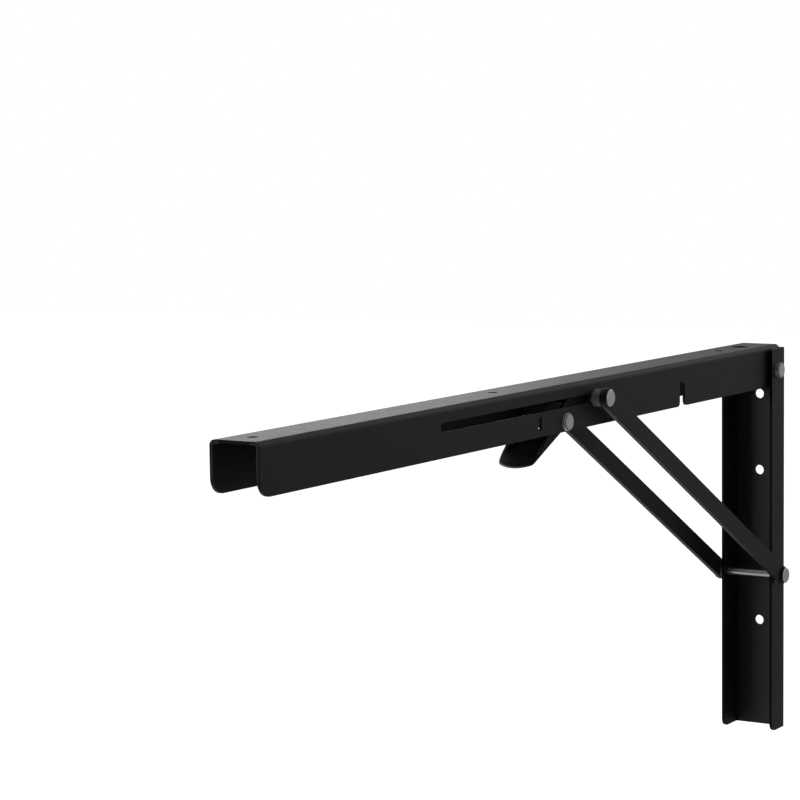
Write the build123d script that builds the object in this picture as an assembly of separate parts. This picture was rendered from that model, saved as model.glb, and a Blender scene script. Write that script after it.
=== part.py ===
from build123d import *
import math
import os

# A folding shelf bracket. Millimetres, +Z up. The wall is the plane Y = 0, the arm points to -Y,
# and X is across the bracket. The origin is the middle of the wall plate's back.

# Sheet metal
sheet = 1.5                 # wall plate, arm and lever are folded from the same sheet
bend_radius = 2.5           # outside radius of each fold

# Wall plate, a channel open to the room
plate_depth = 18.0
plate_height = 211.0
plate_top_corner = 2.0
plate_foot_corner = 4.5
wall_hole_diameter = 5.3
wall_hole_depths = (26.2, 68.5, 152.5)   # below the plate's top edge

# Arm, a channel open downward
arm_length = 500.0
arm_width = 24.0
arm_height = 22.4
arm_rise = 1.6              # its top stands this far above the plate
arm_rear_gap = 0.5          # between its rear edge and the plate's web
tip_corner = 7.0
shelf_hole_diameter = 4.6
shelf_hole_reaches = (54.5, 297.0)   # from the wall
tip_hole_margin = 13.0      # the last shelf hole, from the arm's tip
access_hole_diameter = 9.2
access_hole_reach = 27.2

# Pivots
top_pivot_reach = 10.7      # from the wall
rod_diameter = 4.0
running_clearance = 0.05    # between a rod and a hole that turns on it, on the radius
moving_gap = 0.3            # between faces that pass each other
head_diameter = 8.5
head_chamfer = 0.6
top_head_height = 2.6
head_height = 1.9
washer_diameter = 9.0
top_washer_thickness = 1.2      # between the arm and the plate's flange
bottom_washer_thickness = 1.5   # between the flange and the strut

# Struts
strut_width = 9.6
strut_thickness = 2.3
bottom_pivot_reach = 11.8
pivot_spacing = 112.5       # the bottom pivot's drop below the top one

# Sliding joint
slot_rise = 4.6             # the slot's middle line above the top pivot
slot_width = 4.3
slide_reach = 219.6         # the sliding pin from the wall, open
slide_pin_diameter = 4.0
bush_diameter = 8.5

# Notch in the arm that takes the bottom rod when folded
notch_side_gap = 1.0
notch_top_gap = 1.5
notch_mouth_radius = 2.5

# Release lever
lever_setback = 28.9        # its pivot past the sliding pin, toward the tip
lever_drop = 17.8           # its pivot below the arm's top
lever_slope = 24.3          # of its base, down toward the tip
lever_base_drop = 4.6       # from its pivot to the base's outer face
cheek_front_angle = 42.5
cheek_end_reach = 26.7      # from its pivot to the foot of the cheek
nose_top_rise = 11.3
nose_foot_rise = 3.5
nose_press_angle = 30.0     # the press that lays the nose's sloping edge level under the slot
lip_reach = 31.2            # the middle of its curved front edge, from the pivot
lever_bend_radius = 1.7     # outer
base_start_reach = 6.0      # the base begins here, clear of the spring
heel_reach = 4.6            # the cheek's lowest rear corner, behind the pivot
heel_drop = 2.3             # and below it
sole_reach = 1.5            # where the cheek's rear edge meets the base, ahead of the pivot

# Lever spring and its anchor slot
wire_diameter = 0.8
coil_pitch = 1.0
coil_turns = 5              # full ones, beside the part turn between the legs
spring_seat_gap = 0.05      # between the pressing leg and the base
pressing_leg_length = 17.0
anchor_setback = 25.6       # past the lever's pivot, toward the tip
anchor_slot_width = 3.2
anchor_slot_height = 6.8
anchor_slot_drop = 16.3     # its middle below the arm's top
anchor_bend_radius = 1.6

# Across the bracket, from the middle out: arm, washer, flange, washer, strut.
plate_width = arm_width + 2 * (moving_gap + top_washer_thickness + sheet)
strut_offset = plate_width / 2 + moving_gap + bottom_washer_thickness

plate_top = plate_height / 2
arm_top = plate_top + arm_rise
arm_bottom = arm_top - arm_height
arm_rear = -(sheet + arm_rear_gap)
arm_tip = arm_rear - arm_length

# The arm's rear corner is an arc about the top pivot, so that it turns clear of the plate's web.
fold_radius = top_pivot_reach - sheet - moving_gap
top_pivot = (-top_pivot_reach, arm_bottom + fold_radius)
bottom_pivot = (-bottom_pivot_reach, top_pivot[1] - pivot_spacing)
slot_level = top_pivot[1] + slot_rise
slide_pin = (-slide_reach, slot_level)
lever_pivot = (slide_pin[0] - lever_setback, arm_top - lever_drop)
anchor_slot = (lever_pivot[0] - anchor_setback, arm_top - anchor_slot_drop)

# Folded, the arm hangs straight down and the strut reaches the pin along the slot's middle line.
strut_length = math.dist(slide_pin, bottom_pivot)
folded_side_step = top_pivot[0] - slot_rise - bottom_pivot[0]
folded_reach = pivot_spacing + math.sqrt(strut_length**2 - folded_side_step**2)
slot_outer_end = top_pivot[0] - folded_reach - slot_width / 2
slot_inner_end = slide_pin[0] + slot_width / 2

cheek_outer = arm_width / 2 - sheet - moving_gap


def channel_section(width, depth, outer_radius):
    """A folded U, its back on the X axis and its walls toward -Y."""
    outside = Pos(0, -depth / 2) * Rectangle(width, depth)
    outside = fillet(outside.vertices().group_by(Axis.Y)[-1], outer_radius)
    inside = Pos(0, -sheet - depth / 2) * Rectangle(width - 2 * sheet, depth)
    inside = fillet(inside.vertices().group_by(Axis.Y)[-1], outer_radius - sheet)
    return outside - inside


def across(side_view, half_width):
    """Extrudes a drawing made in Y and Z both ways along X."""
    return extrude(Plane.YZ * side_view, amount=half_width, both=True)


def crosswise(start, end, diameter):
    """A round bar along X, from start to end."""
    return Pos((start + end) / 2, 0, 0) * Rot(0, 90, 0) * Cylinder(diameter / 2, abs(end - start))


def at(place, solid):
    """Moves a solid made on the X axis to a place given as Y and Z."""
    return Pos(0, place[0], place[1]) * solid


def rivet_head(seat, side, height):
    """A flat round head that sits on the plane X = seat, with its rim chamfered on the outside."""
    head = crosswise(seat, seat + side * height, head_diameter)
    outer_rim = head.edges().filter_by(GeomType.CIRCLE).sort_by(Axis.X)[-1 if side > 0 else 0]
    return chamfer(outer_rim, head_chamfer)


def through_rivet(place, half_length, height):
    """A rod across the bracket with a head set on each end."""
    rivet = crosswise(-half_length, half_length, rod_diameter)
    for side in (-1, 1):
        rivet += rivet_head(side * half_length, side, height)
    return at(place, rivet)


def ring(place, start, end, outer, inner):
    """A washer or bush between two planes of X."""
    return at(place, crosswise(start, end, outer) - crosswise(start, end, inner))


def make_wall_plate():
    """The channel that is screwed to the wall."""
    section = channel_section(plate_width, plate_depth, bend_radius)
    plate = extrude(Pos(0, 0, -plate_top) * section, amount=plate_height)
    side_view = Pos(-plate_depth / 2, 0) * Rectangle(plate_depth, plate_height)
    front_foot = side_view.vertices().group_by(Axis.X)[0].sort_by(Axis.Y)[0]
    side_view = fillet(front_foot, plate_foot_corner)
    front_top = side_view.vertices().group_by(Axis.X)[0].sort_by(Axis.Y)[-1]
    side_view = fillet(front_top, plate_top_corner)
    plate &= across(side_view, plate_width)
    for depth in wall_hole_depths:
        plate -= Pos(0, 0, plate_top - depth) * Rot(90, 0, 0) * Cylinder(wall_hole_diameter / 2, 4 * sheet)
    plate -= at(top_pivot, crosswise(-plate_width, plate_width, rod_diameter))
    turning_hole = rod_diameter + 2 * running_clearance
    plate -= at(bottom_pivot, crosswise(-plate_width, plate_width, turning_hole))
    return plate


def arm_side_view():
    """The arm seen from the side, with its slot, notch and round corners."""
    middle = (arm_rear + arm_tip) / 2
    view = Pos(middle, arm_top - arm_height / 2) * Rectangle(arm_length, arm_height)
    tip_foot = view.vertices().group_by(Axis.X)[0].sort_by(Axis.Y)[0]
    view = fillet(tip_foot, tip_corner)

    rear_depth = arm_rear - top_pivot[0]
    rear_corner = Pos(top_pivot[0] + rear_depth / 2, top_pivot[1] - fold_radius / 2)
    rear_corner *= Rectangle(rear_depth, fold_radius)
    view -= rear_corner - Pos(*top_pivot) * Circle(fold_radius)

    slot_length = slot_inner_end - slot_outer_end
    slot = Pos((slot_inner_end + slot_outer_end) / 2, slot_level) * SlotOverall(slot_length, slot_width)
    view -= slot

    # Folding brings the bottom rod here, measured in the open arm.
    rod_place = (top_pivot[0] - pivot_spacing, top_pivot[1] + top_pivot[0] - bottom_pivot[0])
    notch_half = rod_diameter / 2 + notch_side_gap
    notch_top = rod_place[1] + rod_diameter / 2 + notch_top_gap
    round_centre = notch_top - notch_half
    notch_depth = round_centre - arm_bottom
    notch = Pos(rod_place[0], arm_bottom + notch_depth / 2) * Rectangle(2 * notch_half, notch_depth)
    view -= notch + Pos(rod_place[0], round_centre) * Circle(notch_half)

    # Along the bottom edge lie the tip corner's end, the notch's mouth and the rear corner's end.
    mouth = view.vertices().group_by(Axis.Y)[0].sort_by(Axis.X)[1:3]
    return fillet(mouth, notch_mouth_radius)


def make_arm():
    """The channel that carries the shelf."""
    start = Plane(origin=(0, arm_rear, arm_top), x_dir=(1, 0, 0), z_dir=(0, -1, 0))
    arm = extrude(start * channel_section(arm_width, arm_height, bend_radius), amount=arm_length)
    arm &= across(arm_side_view(), arm_width)
    turning_hole = rod_diameter + 2 * running_clearance
    arm -= at(top_pivot, crosswise(-arm_width, arm_width, turning_hole))
    arm -= at(lever_pivot, crosswise(-arm_width, arm_width, rod_diameter))
    for place in [-reach for reach in shelf_hole_reaches] + [arm_tip + tip_hole_margin]:
        arm -= Pos(0, place, arm_top) * Cylinder(shelf_hole_diameter / 2, 4 * sheet)
    arm -= Pos(0, -access_hole_reach, arm_top) * Cylinder(access_hole_diameter / 2, 4 * sheet)
    upright_slot = Pos(*anchor_slot) * Rot(0, 0, 90) * SlotOverall(anchor_slot_height, anchor_slot_width)
    arm -= Pos(arm_width / 2 - sheet / 2, 0, 0) * across(upright_slot, sheet)
    return arm


def make_strut(side):
    """A flat bar with round ends, from the bottom rod up to the sliding pin."""
    angle = math.degrees(math.atan2(slide_pin[1] - bottom_pivot[1], slide_pin[0] - bottom_pivot[0]))
    middle = Pos((slide_pin[0] + bottom_pivot[0]) / 2, (slide_pin[1] + bottom_pivot[1]) / 2)
    outline = middle * Rot(0, 0, angle) * SlotCenterToCenter(strut_length, strut_width)
    for place in (slide_pin, bottom_pivot):
        outline -= Pos(*place) * Circle(rod_diameter / 2)
    bar = extrude(Plane.YZ * outline, amount=side * strut_thickness)
    return Pos(side * strut_offset, 0, 0) * bar


def base_line(reach):
    """The outer face of the lever's base, in Y and Z from the lever's pivot."""
    slope = math.radians(lever_slope)
    return (-reach, -lever_base_drop / math.cos(slope) - reach * math.tan(slope))


def lever_side_view():
    """A cheek of the release lever, seen from the side and measured from its pivot."""
    front = math.tan(math.radians(cheek_front_angle))
    press = math.radians(nose_press_angle)
    foot = base_line(cheek_end_reach)

    # Pressed, the edge between shoulder and crest lies level, one moving gap under the slot.
    under_slot = slot_level - slot_width / 2 - moving_gap - lever_pivot[1]
    edge_height = under_slot / math.cos(press)
    meet = (edge_height - foot[1] + front * foot[0]) / (front - math.tan(press))
    shoulder = (meet, edge_height + meet * math.tan(press))
    crest = ((nose_top_rise - edge_height) / math.tan(press), nose_top_rise)

    # The nose ends in an arc about the pivot, so that it turns clear of the sliding pin.
    nose_radius = math.dist(slide_pin, lever_pivot) - slide_pin_diameter / 2 - moving_gap
    rises = (nose_top_rise, (nose_top_rise + nose_foot_rise) / 2, nose_foot_rise)
    nose_top, nose_middle, nose_foot = [(math.sqrt(nose_radius**2 - rise**2), rise) for rise in rises]
    heel = (heel_reach, -heel_drop)
    sole = base_line(sole_reach)
    edges = Polyline(nose_foot, heel, sole, foot, shoulder, crest, nose_top)
    edges += ThreePointArc(nose_top, nose_middle, nose_foot)
    return make_face(edges)


def make_lever():
    """The release lever: a scoop folded from sheet, with two cheeks and a finger lip."""
    slope = math.radians(lever_slope)
    front = math.radians(cheek_front_angle)
    toward_tip = Vector(0, -math.cos(slope), -math.sin(slope))
    base_up = Vector(0, -math.sin(slope), math.cos(slope))
    below_pivot = Vector(0, *lever_pivot) + Vector(0, *base_line(0))
    base_plane = Plane(origin=below_pivot, x_dir=toward_tip, z_dir=base_up)

    # The lip bulges past the cheeks' feet and is cut along the slant of their front edges.
    lip_side = cheek_end_reach / math.cos(slope)
    lip_middle = lip_reach / math.cos(slope)
    front_edge = ThreePointArc((lip_side, -cheek_outer), (lip_middle, 0), (lip_side, cheek_outer))
    chord = Line((lip_side, cheek_outer), (lip_side, -cheek_outer))
    slant_length = sheet / math.sin(front - slope)
    slant = Vector(0, math.cos(front), math.sin(front))
    lip = extrude(base_plane * make_face(front_edge + chord), amount=slant_length, dir=slant)

    section = Rot(0, 0, 180) * channel_section(2 * cheek_outer, lip_reach, lever_bend_radius)
    start = Plane(origin=below_pivot - toward_tip * lip_reach, x_dir=(1, 0, 0), z_dir=toward_tip)
    folded = extrude(start * section, amount=3 * lip_reach)
    lever = folded & (at(lever_pivot, across(lever_side_view(), arm_width)) + lip)

    # The base stops short of the spring, and the cheeks run on past it to the nose.
    opening = Pos(base_start_reach - lip_reach / 2, 0) * Rectangle(lip_reach, 2 * (cheek_outer - sheet))
    lever -= extrude(base_plane * opening, amount=2 * sheet, both=True)
    turning_hole = rod_diameter + 2 * running_clearance
    return lever - at(lever_pivot, crosswise(-arm_width, arm_width, turning_hole))


def make_lever_spring():
    """A torsion spring round the lever's rod. One leg hooks into the arm, one presses the base."""
    coil_radius = lever_base_drop - sheet - wire_diameter / 2 - spring_seat_gap
    hook_level = anchor_slot[1] + anchor_slot_height / 2 - wire_diameter
    anchor_angle = math.atan2(hook_level - lever_pivot[1] - coil_radius, anchor_setback)

    # Angles are about +X. The wire runs from the pressing leg, under the rod, round and off over it.
    first = math.radians(lever_slope - 90)
    last_degrees = 90 - math.degrees(anchor_angle) + 360 * coil_turns
    coil_length = coil_pitch * (last_degrees - lever_slope + 90) / 360
    start = Plane(
        origin=(-coil_length / 2, *lever_pivot),
        x_dir=(0, math.cos(first), math.sin(first)),
        z_dir=(1, 0, 0),
    )
    coil_line = start * Helix(coil_pitch, coil_length, coil_radius)
    wire = Circle(wire_diameter / 2)
    spring = sweep(Plane(coil_line @ 0, z_dir=coil_line % 0) * wire, path=coil_line, is_frenet=True)

    pressing_end = coil_line @ 0 - (coil_line % 0) * pressing_leg_length
    pressing_leg = Line(coil_line @ 0, pressing_end)
    anchor_start = coil_line @ 1
    leg_direction = coil_line % 1
    anchor_run = (anchor_slot[0] - anchor_start.Y) / leg_direction.Y
    corner = anchor_start + leg_direction * anchor_run
    hook_end = Vector(arm_width / 2 - moving_gap, corner.Y, corner.Z)
    anchor_leg = FilletPolyline(anchor_start, corner, hook_end, radius=anchor_bend_radius)
    for leg in (pressing_leg, anchor_leg):
        spring += sweep(Plane(leg @ 0, z_dir=leg % 0) * wire, path=leg)
    return spring


def build():
    """Every piece by name."""
    pieces = {
        "wall_plate": make_wall_plate(),
        "arm_channel": make_arm(),
        "release_lever": make_lever(),
        "lever_spring": make_lever_spring(),
        "top_pivot_rod": through_rivet(top_pivot, plate_width / 2, top_head_height),
        "bottom_pivot_rod": through_rivet(bottom_pivot, strut_offset + strut_thickness, head_height),
        "lever_pivot_rod": through_rivet(lever_pivot, arm_width / 2, head_height),
    }
    for name, side in (("left", -1), ("right", 1)):
        beside_arm = arm_width / 2 + moving_gap
        flange_inside = plate_width / 2 - sheet
        pieces[f"top_washer_{name}"] = ring(
            top_pivot, side * beside_arm, side * flange_inside, washer_diameter, rod_diameter
        )
        beside_plate = plate_width / 2 + moving_gap
        pieces[f"bottom_washer_{name}"] = ring(
            bottom_pivot, side * beside_plate, side * strut_offset, washer_diameter, rod_diameter
        )
        pieces[f"strut_{name}"] = make_strut(side)
        bush_end = strut_offset - moving_gap
        pieces[f"slide_bush_{name}"] = ring(
            slide_pin, side * beside_arm, side * bush_end, bush_diameter, slide_pin_diameter
        )
        stud_start = cheek_outer + moving_gap
        pieces[f"slide_stud_{name}"] = at(
            slide_pin, crosswise(side * stud_start, side * bush_end, slide_pin_diameter)
        )
        rivet_seat = strut_offset + strut_thickness
        stub = crosswise(side * strut_offset, side * rivet_seat, slide_pin_diameter)
        head = rivet_head(side * rivet_seat, side, head_height)
        pieces[f"strut_rivet_{name}"] = at(slide_pin, stub + head)
    return pieces


os.makedirs("parts", exist_ok=True)
for node, solid in build().items():
    export_step(solid, f"parts/{node}.step")
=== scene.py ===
"""Finish and studio for a folding shelf bracket: black powder coat, bare steel rivets and a white stage."""
import math

import bpy
from bpy.props import FloatProperty, FloatVectorProperty, PointerProperty
from mathutils import Matrix, Vector


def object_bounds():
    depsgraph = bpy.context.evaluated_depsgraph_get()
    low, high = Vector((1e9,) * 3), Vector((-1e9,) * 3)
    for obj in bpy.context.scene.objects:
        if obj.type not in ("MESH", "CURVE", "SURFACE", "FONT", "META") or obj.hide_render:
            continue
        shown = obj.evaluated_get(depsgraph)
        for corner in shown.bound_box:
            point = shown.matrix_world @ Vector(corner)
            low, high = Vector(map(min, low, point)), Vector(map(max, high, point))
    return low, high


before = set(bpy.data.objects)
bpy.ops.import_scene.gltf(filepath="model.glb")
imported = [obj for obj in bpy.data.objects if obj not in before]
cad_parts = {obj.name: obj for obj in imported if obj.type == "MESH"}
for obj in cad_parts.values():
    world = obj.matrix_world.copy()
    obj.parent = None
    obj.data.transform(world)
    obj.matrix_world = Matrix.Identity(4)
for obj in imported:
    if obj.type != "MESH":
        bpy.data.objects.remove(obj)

bl_info = {
    "name": "Folding Shelf Bracket Finish",
    "version": (1, 0, 0),
    "blender": (4, 5, 0),
    "location": "View3D > Sidebar > Shelf Bracket",
    "description": "Coats the folded steel, finishes the rivets and spring, and sets up a white studio",
    "category": "Object",
}

cad_box = [list(corner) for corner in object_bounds()]
MILLIMETRE = 0.001
WHITE = (1.0, 1.0, 1.0, 1.0)
HEAD_DIAMETER = 8.5 * MILLIMETRE
ROD_ROUGHNESS = 0.08
PAINTED_CHAMFER_SHADE = 0.12                    # tone of the painted shade on the chamfer, a dark line round a head
COAT_UNEVENNESS = 0.04                  # how far the roughness wanders, both ways
STEEL_UNEVENNESS = 0.06
RING_SPACING = math.tau / 20            # between a wave texture's rings at scale 1
NO_HOLES = 1.5                          # a share of the height above the piece's top
MIDDLE = (0.0, -0.25, 0.0)              # of the bracket, where the lamps point
FLOOR_HALF = 8.0
FLOOR_GLOW_SPOT = (-0.7, 0.0, 0.0)    # where the floor's painted glow, which only reflections see, is brightest
DIM_ROOM = 0.02                         # what the gloss shows between the cards
# White cards round the bracket that its gloss shows. Each has the direction in which it stands, the two
# cosines between which its edge fades in, and its strength.
CARDS = (
    ((0.5, 0.85, 0.0), (0.2, 1.0), 0.5),
    ((1.0, -0.35, 0.25), (0.5, 0.95), 0.5),
    ((-1.0, -0.35, 0.25), (0.8, 0.97), 0.5),
    ((0.0, 0.0, 1.0), (0.6, 0.95), 0.6),
    ((-0.75, 0.65, 0.1), (0.82, 0.96), 1.0),
)


class CoatSettings(bpy.types.PropertyGroup):
    """The powder coat on the folded steel."""

    color: FloatVectorProperty(
        name="Coat color",
        description="Colour of the powder coat",
        subtype="COLOR",
        size=3,
        min=0.0,
        max=1.0,
        default=(0.0070, 0.0070, 0.0073),
    )
    roughness: FloatProperty(
        name="Coat roughness",
        description="How matt the coat is",
        subtype="FACTOR",
        min=0.0,
        max=1.0,
        default=0.5,
    )
    grain: FloatProperty(
        name="Grain size",
        description="Distance between the pimples of the powder coat",
        unit="LENGTH",
        min=0.0,
        default=0.45 * MILLIMETRE,
    )
    grain_height: FloatProperty(
        name="Grain height",
        description="How far the pimples stand up",
        unit="LENGTH",
        min=0.0,
        default=0.024 * MILLIMETRE,
    )
    edge_radius: FloatProperty(
        name="Edge radius",
        description="Radius that the coat gives to the sheet's cut edges",
        unit="LENGTH",
        min=0.0,
        default=0.3 * MILLIMETRE,
    )
    # Painted highlight: a lighter colour along the rounded cut edges, standing in for the light that they
    # catch.
    edge_highlight_color: FloatVectorProperty(
        name="Edge color",
        description="Colour of the coat where it is rubbed along the sheet's cut edges",
        subtype="COLOR",
        size=3,
        min=0.0,
        max=1.0,
        default=(0.03, 0.03, 0.031),
    )
    # Painted shade: a near-black colour on the channels' cut edges, back folds and hole walls, standing in
    # for the shade that falls there.
    edge_shade_color: FloatVectorProperty(
        name="Cut color",
        description="Colour of the channels' cut edges, where the thin coat lies on dark scale",
        subtype="COLOR",
        size=3,
        min=0.0,
        max=1.0,
        default=(0.006, 0.006, 0.006),
    )
    patch_size: FloatProperty(
        name="Patch size",
        description="Size of the faint lighter and darker patches in the coat",
        unit="LENGTH",
        min=0.0,
        default=6.0 * MILLIMETRE,
    )
    sheen: FloatProperty(
        name="Coat sheen",
        description="How strongly the coat mirrors what stands round it",
        subtype="FACTOR",
        min=0.0,
        max=1.0,
        default=0.3,
    )


class SteelSettings(bpy.types.PropertyGroup):
    """The bare steel of rods, rivets, bushes and spring."""

    rod_color: FloatVectorProperty(
        name="Rod color",
        description="Colour of the drawn rods between their heads",
        subtype="COLOR",
        size=3,
        min=0.0,
        max=1.0,
        default=(0.4, 0.4, 0.4),
    )
    rivet_color: FloatVectorProperty(
        name="Rivet color",
        description="Colour of the bare rivet heads",
        subtype="COLOR",
        size=3,
        min=0.0,
        max=1.0,
        default=(0.74, 0.735, 0.73),
    )
    bush_color: FloatVectorProperty(
        name="Bush color",
        description="Colour of the dull bushes and washers",
        subtype="COLOR",
        size=3,
        min=0.0,
        max=1.0,
        default=(0.27, 0.27, 0.275),
    )
    spring_color: FloatVectorProperty(
        name="Spring color",
        description="Colour of the drawn spring wire",
        subtype="COLOR",
        size=3,
        min=0.0,
        max=1.0,
        default=(0.025, 0.025, 0.026),
    )
    mark_spacing: FloatProperty(
        name="Tool mark spacing",
        description="Distance between the turning marks on the rivet heads",
        unit="LENGTH",
        min=0.0,
        default=0.3 * MILLIMETRE,
    )


class StageSettings(bpy.types.PropertyGroup):
    """Camera, lamps and floor."""

    lens: FloatProperty(
        name="Lens",
        description="Focal length of the camera",
        subtype="DISTANCE_CAMERA",
        default=121.29,
    )
    camera_place: FloatVectorProperty(
        name="Camera place",
        description="Where the camera stands, from the middle of the wall plate's back",
        subtype="TRANSLATION",
        size=3,
        default=(0.60926, -1.36187, 0.23117),
    )
    camera_turn: FloatProperty(
        name="Camera turn",
        description="Turn of the camera from square on to the wall",
        subtype="ANGLE",
        default=math.radians(31.76),
    )
    camera_dip: FloatProperty(
        name="Camera dip",
        description="How far the camera looks down",
        subtype="ANGLE",
        default=math.radians(5.91),
    )
    camera_roll: FloatProperty(
        name="Camera roll",
        description="Lean of the camera",
        subtype="ANGLE",
        default=math.radians(-0.73),
    )
    floor_drop: FloatProperty(
        name="Floor drop",
        description="How far the floor lies below the wall plate's foot",
        unit="LENGTH",
        min=0.0,
        default=0.45,
    )
    fill_light: FloatProperty(
        name="Fill light",
        description="Strength of the even light from all round",
        min=0.0,
        default=0.12,
    )
    card_light: FloatProperty(
        name="Card light",
        description="How bright the white cards round the bracket look in its gloss",
        min=0.0,
        default=1.0,
    )
    back_light: FloatProperty(
        name="Back lamp",
        description="Power of the lamp behind the bracket that glances off the arm's top",
        subtype="POWER",
        min=0.0,
        default=5.0,
    )
    front_light: FloatProperty(
        name="Front lamp",
        description="Power of the lamp in front, on the left",
        subtype="POWER",
        min=0.0,
        default=25.0,
    )
    side_light: FloatProperty(
        name="Side lamp",
        description="Power of the lamp on the right",
        subtype="POWER",
        min=0.0,
        default=1.5,
    )


def blank_tree(owner, output):
    """Empties the node tree of a material or world and returns it with the socket for its surface."""
    owner.use_nodes = True
    tree = owner.node_tree
    tree.nodes.clear()
    return tree, tree.nodes.new(output).inputs["Surface"]


def new_material(name):
    """A new material, its node tree and the bare shader in it."""
    material = bpy.data.materials.new(name)
    tree, surface = blank_tree(material, "ShaderNodeOutputMaterial")
    shader = tree.nodes.new("ShaderNodeBsdfPrincipled")
    tree.links.new(shader.outputs["BSDF"], surface)
    return material, tree, shader


def node(tree, kind, **settings):
    """A new node. Each setting is one of the node's own, or the constant of the socket with that name."""
    made = tree.nodes.new(kind)
    for key, value in settings.items():
        if hasattr(made, key):
            setattr(made, key, value)
        else:
            made.inputs[key].default_value = value
    return made


def feed(tree, socket, value):
    """Links an output to the socket, or sets the socket to a constant."""
    if isinstance(value, bpy.types.NodeSocket):
        tree.links.new(value, socket)
    else:
        socket.default_value = value


def calc(tree, operation, *values):
    """The result of a sum on numbers."""
    made = node(tree, "ShaderNodeMath", operation=operation)
    for socket, value in zip(made.inputs, values):
        feed(tree, socket, value)
    return made.outputs["Value"]


def vector_calc(tree, operation, result, *values):
    """The result of a sum on vectors: result is Vector or Value."""
    made = node(tree, "ShaderNodeVectorMath", operation=operation)
    for socket, value in zip(made.inputs, values):
        feed(tree, socket, value)
    return made.outputs[result]


def product(tree, *shares):
    """All the shares multiplied."""
    total = shares[0]
    for share in shares[1:]:
        total = calc(tree, "MULTIPLY", total, share)
    return total


def split(tree, vector):
    """The x, y and z of a vector."""
    made = tree.nodes.new("ShaderNodeSeparateXYZ")
    tree.links.new(vector, made.inputs["Vector"])
    return made.outputs["X"], made.outputs["Y"], made.outputs["Z"]


def spread(tree, source, low, high):
    """Stretches a source that runs from 0 to 1 evenly from low to high."""
    made = tree.nodes.new("ShaderNodeMapRange")
    for key, value in (("Value", source), ("To Min", low), ("To Max", high)):
        feed(tree, made.inputs[key], value)
    return made.outputs["Result"]


def ramp(tree, source, start, end, low, high):
    """A soft step from low to high while the source goes from start to end."""
    made = node(tree, "ShaderNodeMapRange", interpolation_type="SMOOTHSTEP")
    tree.links.new(source, made.inputs["Value"])
    for key, value in (("From Min", start), ("From Max", end), ("To Min", low), ("To Max", high)):
        made.inputs[key].default_value = value
    return made.outputs["Result"]


def mix(tree, kind, share, first, second):
    """Goes from the first to the second with the share. The kind is FLOAT for numbers, RGBA for colours."""
    made = node(tree, "ShaderNodeMix", data_type=kind)
    for key, value in (("Factor", share), ("A", first), ("B", second)):
        feed(tree, made.inputs[key], value)
    return made.outputs["Result"]


def shaded(color, shade):
    """A colour made darker or lighter, and solid."""
    return (*[part * shade for part in color], 1.0)


def tone(tree, source, color, dark, light):
    """Shades a colour from dark to light with the source."""
    return mix(tree, "RGBA", source, shaded(color, dark), shaded(color, light))


def noise(tree, place, size, detail, roughness):
    """Clouds of the given size, from 0 to 1."""
    made = node(tree, "ShaderNodeTexNoise", Scale=1 / size, Detail=detail, Roughness=roughness)
    tree.links.new(place.outputs["Object"], made.inputs["Vector"])
    return made.outputs["Fac"]


def raise_surface(tree, shader, height, strength, distance, normal=None):
    """Makes the shader's surface look raised, on top of the normal where one is given."""
    bump = node(tree, "ShaderNodeBump", Strength=strength, Distance=distance)
    tree.links.new(height, bump.inputs["Height"])
    if normal is not None:
        tree.links.new(normal, bump.inputs["Normal"])
    tree.links.new(bump.outputs["Normal"], shader.inputs["Normal"])


def dress(name, material):
    """Gives a CAD piece its material."""
    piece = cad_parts[name]
    if not piece.material_slots:
        raise RuntimeError(f"{name} has no material slot")
    for slot in piece.material_slots:
        slot.material = material


def edge_shade_mask(tree, place, holes_from, inner_edge_shade):
    """Mask of painted shade: 1 on a channel's front cut edges, in the folds at its back and on the upright
    walls of the holes that lie above the given share of its height. The inner part of the front edges gets
    the last argument."""
    turned_x, turned_y, turned_z = split(tree, place.outputs["Normal"])
    across, along, height = split(tree, place.outputs["Generated"])
    sideways = calc(tree, "ABSOLUTE", turned_x)
    from_middle = calc(tree, "ABSOLUTE", calc(tree, "SUBTRACT", across, 0.5))

    not_a_side = ramp(tree, sideways, 0.9, 0.97, 1.0, 0.0)
    not_the_top = ramp(tree, turned_z, 0.2, 0.4, 1.0, 0.0)
    not_underneath = ramp(tree, turned_z, -0.97, -0.9, 0.0, 1.0)
    in_front = ramp(tree, along, 0.6, 0.65, 1.0, 0.0)
    outer_side = ramp(tree, from_middle, 0.465, 0.48, inner_edge_shade, 1.0)
    outer_top = ramp(tree, height, 0.97, 0.985, inner_edge_shade, 1.0)
    outer = calc(tree, "MAXIMUM", outer_side, outer_top)
    fronts = product(tree, not_a_side, outer, not_the_top, not_underneath, in_front)

    slanted = ramp(tree, sideways, 0.15, 0.3, 0.0, 1.0)
    to_the_front = ramp(tree, turned_y, -0.3, -0.15, 1.0, 0.0)
    at_the_back = ramp(tree, along, 0.6, 0.65, 0.0, 1.0)
    folds = product(tree, not_a_side, slanted, to_the_front, at_the_back)

    upright = ramp(tree, calc(tree, "ABSOLUTE", turned_z), 0.3, 0.5, 1.0, 0.0)
    high_up = ramp(tree, height, holes_from, holes_from + 0.01, 0.0, 1.0)
    in_the_middle = ramp(tree, from_middle, 0.3, 0.35, 1.0, 0.0)
    holes = product(tree, upright, high_up, in_the_middle)
    return calc(tree, "MAXIMUM", calc(tree, "MAXIMUM", fronts, folds), holes)


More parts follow.
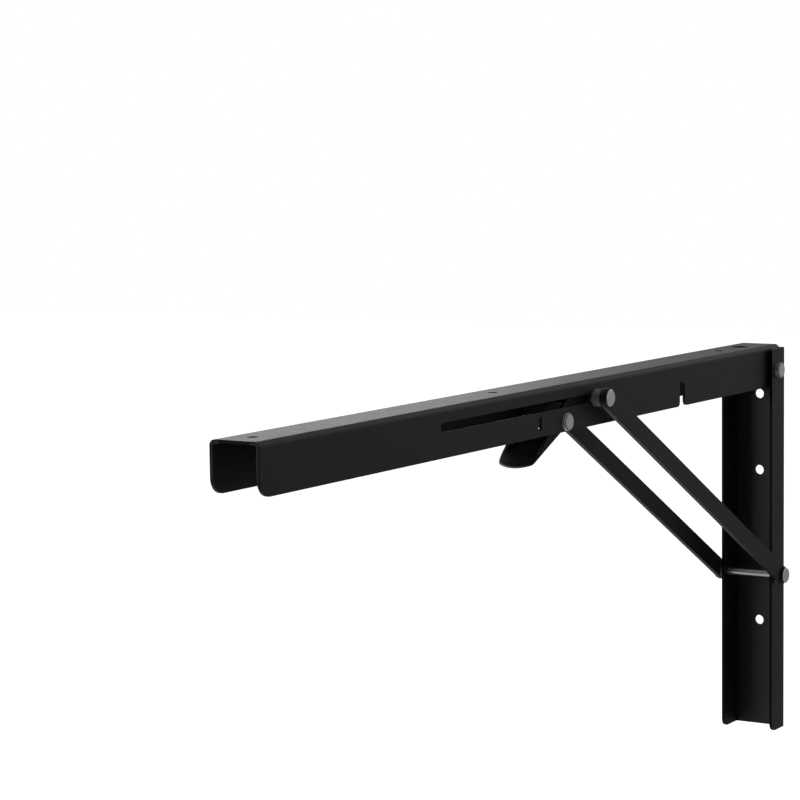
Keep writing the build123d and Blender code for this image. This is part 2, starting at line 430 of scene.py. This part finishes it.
def coat_material(settings, name, shade=1.0, gloss=1.0, edge_highlight=0.5, upper_edge_highlight=1.0, rounding=1.0, edge_shade_values=None):
    """Fine-grained matt powder coat that rounds the sheet's cut edges and has a painted highlight along
    them.

    Shade and gloss multiply the coat's colour and sheen (a shade below 1 paints shade into it), the next
    argument multiplies the colour of the painted edge highlight and the one after it the highlight's share
    on the piece's upper half, and rounding multiplies the edges' radius.
    The last argument holds the two last values for the painted-shade mask, on a channel whose cut edges,
    back folds and hole walls get painted shade.
    """
    material, tree, shader = new_material(name)
    place = tree.nodes.new("ShaderNodeTexCoord")
    bevel = node(tree, "ShaderNodeBevel", samples=4, Radius=rounding * settings.edge_radius)
    rounded = bevel.outputs["Normal"]
    grain = noise(tree, place, settings.grain, 2.0, 0.55)
    raise_surface(tree, shader, grain, 0.8, settings.grain_height, rounded)

    patches = noise(tree, place, settings.patch_size, 3.0, 0.5)
    matt = spread(tree, patches, settings.roughness - COAT_UNEVENNESS, settings.roughness + COAT_UNEVENNESS)
    tree.links.new(matt, shader.inputs["Roughness"])

    geometry = tree.nodes.new("ShaderNodeNewGeometry")
    flatness = vector_calc(tree, "DOT_PRODUCT", "Value", rounded, geometry.outputs["Normal"])
    # Painted highlight: a lighter colour on the rounded edges, standing in for the light they catch, with a
    # share that changes with height.
    near_edge = ramp(tree, flatness, 0.8, 0.995, 1.0, 0.0)
    height = split(tree, place.outputs["Generated"])[2]
    highlight_by_height = ramp(tree, height, 0.4, 0.6, 1.0, upper_edge_highlight)
    plain = tone(tree, patches, settings.color, 0.8 * shade, 1.25 * shade)
    highlighted = shaded(settings.edge_highlight_color, edge_highlight)
    color = mix(tree, "RGBA", product(tree, near_edge, highlight_by_height), plain, highlighted)
    # Painted shade on the channel's cut edges, back folds and hole walls: near-black, and metallic so that
    # it mirrors almost nothing.
    if edge_shade_values is not None:
        cut = edge_shade_mask(tree, place, *edge_shade_values)
        color = mix(tree, "RGBA", cut, color, shaded(settings.edge_shade_color, 1.0))
        tree.links.new(cut, shader.inputs["Metallic"])
    tree.links.new(color, shader.inputs["Base Color"])
    shader.inputs["Specular IOR Level"].default_value = gloss * settings.sheen
    return material


def steel_clouds(tree, place, color, roughness, size):
    """Colour and roughness of bare steel with faint clouds of duller metal."""
    clouds = noise(tree, place, size, 4.0, 0.6)
    clouded = tone(tree, clouds, color, 0.8, 1.15)
    return clouded, spread(tree, clouds, roughness - STEEL_UNEVENNESS, roughness + STEEL_UNEVENNESS)


def dull_steel(name, color, roughness, cloud_size, metallic, specular):
    """Bare or oiled steel that mirrors little."""
    material, tree, shader = new_material(name)
    place = tree.nodes.new("ShaderNodeTexCoord")
    clouded, dull = steel_clouds(tree, place, color, roughness, cloud_size)
    tree.links.new(clouded, shader.inputs["Base Color"])
    tree.links.new(dull, shader.inputs["Roughness"])
    shader.inputs["Metallic"].default_value = metallic
    shader.inputs["Specular IOR Level"].default_value = specular
    return material


def turned_steel(settings, name, rim_start, painted_side_shade):
    """Drawn rods with duller heads: lathe rings on the ends, and painted shade from rim_start outwards.

    Rim_start is a radius where 0.5 is the head's own, and the last argument is the tone of the painted
    shade on the head's sides.
    """
    material, tree, shader = new_material(name)
    place = tree.nodes.new("ShaderNodeTexCoord")
    bright, dull = steel_clouds(tree, place, settings.rivet_color, 0.42, 1.2 * MILLIMETRE)
    centred = vector_calc(tree, "SUBTRACT", "Vector", place.outputs["Generated"], (0.5, 0.5, 0.5))
    crosswise = vector_calc(tree, "MULTIPLY", "Vector", centred, (0.0, 1.0, 1.0))
    radius = vector_calc(tree, "LENGTH", "Value", crosswise)
    on_end = calc(tree, "ABSOLUTE", split(tree, place.outputs["Normal"])[0])
    outside_rod = ramp(tree, radius, 0.3, 0.4, 0.0, 1.0)
    on_head = calc(tree, "MAXIMUM", on_end, outside_rod)

    tree.links.new(mix(tree, "FLOAT", on_head, ROD_ROUGHNESS, dull), shader.inputs["Roughness"])
    # Painted shade on the heads: a dark line on the chamfer from rim_start, then the sides at their own
    # tone.
    rim = ramp(tree, radius, rim_start, rim_start + 0.02, 0.0, 1.0)
    side = ramp(tree, radius, 0.47, 0.49, PAINTED_CHAMFER_SHADE, painted_side_shade)
    side_color = tone(tree, side, settings.rivet_color, 0.0, 1.0)
    head_color = mix(tree, "RGBA", rim, bright, side_color)
    color = mix(tree, "RGBA", on_head, shaded(settings.rod_color, 1.0), head_color)
    tree.links.new(color, shader.inputs["Base Color"])
    shader.inputs["Metallic"].default_value = 0.7

    rings = node(tree, "ShaderNodeTexWave", wave_type="RINGS", rings_direction="X")
    scale = RING_SPACING * HEAD_DIAMETER / settings.mark_spacing
    for key, value in (("Scale", scale), ("Distortion", 0.3), ("Detail", 1.0)):
        rings.inputs[key].default_value = value
    tree.links.new(centred, rings.inputs["Vector"])
    end_only = ramp(tree, on_end, 0.9, 1.0, 0.0, 1.0)
    marks = mix(tree, "FLOAT", end_only, 0.5, rings.outputs["Fac"])
    raise_surface(tree, shader, marks, 0.25, 0.01 * MILLIMETRE)
    return material


class BRACKET_OT_coat_sheet_metal(bpy.types.Operator):
    """Coat the wall plate, the arm and the struts"""

    bl_idname = "bracket.coat_sheet_metal"
    bl_label = "Coat Sheet Metal"

    def execute(self, context):
        settings = context.scene.bracket_coat
        # The plate and the arm get painted shade on their cut edges and back folds, and the arm also in its
        # holes.
        dress("wall_plate", coat_material(settings, "Powder coat on the plate", edge_shade_values=(NO_HOLES, 1.0)))
        dress("arm_channel", coat_material(settings, "Powder coat on the arm", edge_shade_values=(0.9, 0.5)))
        struts = coat_material(settings, "Powder coat on the struts")
        for name in ("strut_left", "strut_right"):
            dress(name, struts)
        return {"FINISHED"}


class BRACKET_OT_coat_lever(bpy.types.Operator):
    """Coat the release lever"""

    bl_idname = "bracket.coat_lever"
    bl_label = "Coat Lever"

    def execute(self, context):
        settings = context.scene.bracket_coat
        # A darker, less glossy copy of the same coat: painted shade for the lever's scoop, with a stronger
        # painted highlight along its lower lip.
        look = {"shade": 0.35, "gloss": 0.5, "edge_highlight": 7.0, "upper_edge_highlight": 0.05, "rounding": 3.0}
        dress("release_lever", coat_material(settings, "Lever powder coat", **look))
        return {"FINISHED"}


class BRACKET_OT_finish_rivets(bpy.types.Operator):
    """Finish the rods, studs and rivets"""

    bl_idname = "bracket.finish_rivets"
    bl_label = "Finish Rivets"

    def execute(self, context):
        settings = context.scene.bracket_steel
        # Painted shade on the heads' chamfers and sides: lightest on the lever's rivet, nearly black on the
        # strut, stud and bottom rivets.
        dress("lever_pivot_rod", turned_steel(settings, "Bare turned steel", 0.42, 0.9))
        dress("top_pivot_rod", turned_steel(settings, "Turned steel with half painted shade on its sides", 0.43, 0.5))
        shade_painted = turned_steel(settings, "Turned steel with blackened sides", 0.47, 0.03)
        dress("bottom_pivot_rod", shade_painted)
        for kind in ("strut_rivet", "slide_stud"):
            for side in ("left", "right"):
                dress(f"{kind}_{side}", shade_painted)
        return {"FINISHED"}


class BRACKET_OT_finish_bushes(bpy.types.Operator):
    """Finish the bushes and washers"""

    bl_idname = "bracket.finish_bushes"
    bl_label = "Finish Bushes"

    def execute(self, context):
        color = context.scene.bracket_steel.bush_color
        steel = dull_steel("Dull steel", color, 0.55, 0.8 * MILLIMETRE, metallic=0.4, specular=0.5)
        for kind in ("slide_bush", "top_washer", "bottom_washer"):
            for side in ("left", "right"):
                dress(f"{kind}_{side}", steel)
        return {"FINISHED"}


class BRACKET_OT_finish_spring(bpy.types.Operator):
    """Finish the lever's spring"""

    bl_idname = "bracket.finish_spring"
    bl_label = "Finish Spring"

    def execute(self, context):
        color = context.scene.bracket_steel.spring_color
        steel = dull_steel("Spring steel", color, 0.6, 0.4 * MILLIMETRE, metallic=0.6, specular=0.2)
        dress("lever_spring", steel)
        return {"FINISHED"}


def ray_share(tree, *kinds):
    """1 for rays of the given kinds and 0 for others."""
    rays = tree.nodes.new("ShaderNodeLightPath")
    share = rays.outputs[f"Is {kinds[0]} Ray"]
    for kind in kinds[1:]:
        share = calc(tree, "MAXIMUM", share, rays.outputs[f"Is {kind} Ray"])
    return share


def studio_world(world, stage):
    """White behind the bracket, with white cards in a dim room for its gloss."""
    tree, surface = blank_tree(world, "ShaderNodeOutputWorld")
    background = node(tree, "ShaderNodeBackground", Color=WHITE)
    direction = tree.nodes.new("ShaderNodeTexCoord").outputs["Generated"]
    mirrored = DIM_ROOM
    for side, (start, end), strength in CARDS:
        toward = vector_calc(tree, "DOT_PRODUCT", "Value", direction, Vector(side).normalized())
        card = ramp(tree, toward, start, end, 0.0, 1.0)
        mirrored = mix(tree, "FLOAT", card, mirrored, strength * stage.card_light)
    mirrored = mix(tree, "FLOAT", ray_share(tree, "Glossy", "Transmission"), stage.fill_light, mirrored)
    seen = mix(tree, "FLOAT", ray_share(tree, "Camera"), mirrored, 1.0)
    tree.links.new(seen, background.inputs["Strength"])
    tree.links.new(background.outputs["Background"], surface)


def floor_material():
    """White that keeps a soft shadow under the bracket and runs out into the background, with a painted
    glow near the bracket that only reflections see.
    """
    material = bpy.data.materials.new("White floor")
    tree, surface = blank_tree(material, "ShaderNodeOutputMaterial")
    place = tree.nodes.new("ShaderNodeTexCoord").outputs["Object"]
    from_middle = vector_calc(tree, "LENGTH", "Value", place)
    from_glow_spot = vector_calc(tree, "DISTANCE", "Value", place, FLOOR_GLOW_SPOT)
    seen = ramp(tree, from_middle, 0.5, 1.4, 0.6, 1.0)
    # Painted light: the floor glows for glossy rays only, brightest round the glow spot.
    mirrored = ramp(tree, from_glow_spot, 0.4, 0.8, 0.4, 0.05)
    strength = mix(tree, "FLOAT", ray_share(tree, "Glossy", "Transmission"), 0.0, mirrored)
    strength = mix(tree, "FLOAT", ray_share(tree, "Camera"), strength, seen)
    matt = node(tree, "ShaderNodeBsdfDiffuse", Color=(0.85, 0.85, 0.85, 1.0))
    glow = node(tree, "ShaderNodeEmission", Color=WHITE)
    both = tree.nodes.new("ShaderNodeAddShader")
    tree.links.new(strength, glow.inputs["Strength"])
    tree.links.new(matt.outputs["BSDF"], both.inputs[0])
    tree.links.new(glow.outputs["Emission"], both.inputs[1])
    tree.links.new(both.outputs["Shader"], surface)
    return material


def area_lamp(name, power, size, place):
    """A soft rectangular lamp that shines on the bracket and that the camera doesn't see."""
    light = bpy.data.lights.new(name, "AREA")
    light.shape = "RECTANGLE"
    light.energy = power
    light.size, light.size_y = size
    lamp = bpy.data.objects.new(name, light)
    lamp.location = place
    lamp.rotation_euler = (Vector(MIDDLE) - Vector(place)).to_track_quat("-Z", "Y").to_euler()
    lamp.visible_camera = False
    bpy.context.scene.collection.objects.link(lamp)


class BRACKET_OT_set_stage(bpy.types.Operator):
    """Add the floor, the lamps and the camera"""

    bl_idname = "bracket.set_stage"
    bl_label = "Set Stage"

    def execute(self, context):
        scene = context.scene
        stage = scene.bracket_stage
        scene.view_settings.view_transform = "Standard"
        if scene.world is None:
            scene.world = bpy.data.worlds.new("Studio")
        studio_world(scene.world, stage)

        mesh = bpy.data.meshes.new("Floor")
        corners = [(x * FLOOR_HALF, y * FLOOR_HALF, 0) for x, y in ((-1, -1), (1, -1), (1, 1), (-1, 1))]
        mesh.from_pydata(corners, [], [(0, 1, 2, 3)])
        floor = bpy.data.objects.new("Floor", mesh)
        floor.location = (MIDDLE[0], MIDDLE[1], cad_box[0][2] - stage.floor_drop)
        floor.data.materials.append(floor_material())
        scene.collection.objects.link(floor)

        area_lamp("Back lamp", stage.back_light, (1.0, 0.8), (-1.15, 0.85, 0.36))
        area_lamp("Front lamp", stage.front_light, (1.4, 0.7), (-1.35, -1.3, 0.55))
        area_lamp("Side lamp", stage.side_light, (1.0, 1.0), (0.4, 1.3, 0.8))

        camera = bpy.data.objects.new("Camera", bpy.data.cameras.new("Camera"))
        camera.data.lens = stage.lens
        turn = Matrix.Rotation(stage.camera_turn, 4, "Z")
        dip = Matrix.Rotation(math.pi / 2 - stage.camera_dip, 4, "X")
        roll = Matrix.Rotation(stage.camera_roll, 4, "Z")
        camera.matrix_world = Matrix.Translation(stage.camera_place) @ turn @ dip @ roll
        scene.collection.objects.link(camera)
        scene.camera = camera
        return {"FINISHED"}


class BRACKET_PT_sidebar(bpy.types.Panel):
    """The steps and their settings, in the 3D view's sidebar."""

    bl_idname = "BRACKET_PT_sidebar"
    bl_label = "Shelf Bracket"
    bl_space_type = "VIEW_3D"
    bl_region_type = "UI"
    bl_category = "Shelf Bracket"

    def draw(self, context):
        scene = context.scene
        for settings in (scene.bracket_coat, scene.bracket_steel, scene.bracket_stage):
            box = self.layout.box()
            for key in settings.bl_rna.properties.keys():
                if key not in ("rna_type", "name"):
                    box.prop(settings, key)
        for step in STEPS:
            self.layout.operator(step.bl_idname)


STEPS = (
    BRACKET_OT_coat_sheet_metal,
    BRACKET_OT_coat_lever,
    BRACKET_OT_finish_rivets,
    BRACKET_OT_finish_bushes,
    BRACKET_OT_finish_spring,
    BRACKET_OT_set_stage,
)
CLASSES = (CoatSettings, SteelSettings, StageSettings, *STEPS, BRACKET_PT_sidebar)


def register():
    """Adds the operators, the panel and the settings."""
    for cls in CLASSES:
        bpy.utils.register_class(cls)
    bpy.types.Scene.bracket_coat = PointerProperty(type=CoatSettings)
    bpy.types.Scene.bracket_steel = PointerProperty(type=SteelSettings)
    bpy.types.Scene.bracket_stage = PointerProperty(type=StageSettings)


def unregister():
    """Takes them away again."""
    del bpy.types.Scene.bracket_stage
    del bpy.types.Scene.bracket_steel
    del bpy.types.Scene.bracket_coat
    for cls in reversed(CLASSES):
        bpy.utils.unregister_class(cls)


def main():
    """Runs every step in order."""
    register()
    bpy.ops.bracket.coat_sheet_metal()
    bpy.ops.bracket.coat_lever()
    bpy.ops.bracket.finish_rivets()
    bpy.ops.bracket.finish_bushes()
    bpy.ops.bracket.finish_spring()
    bpy.ops.bracket.set_stage()


if __name__ == "__main__":
    main()
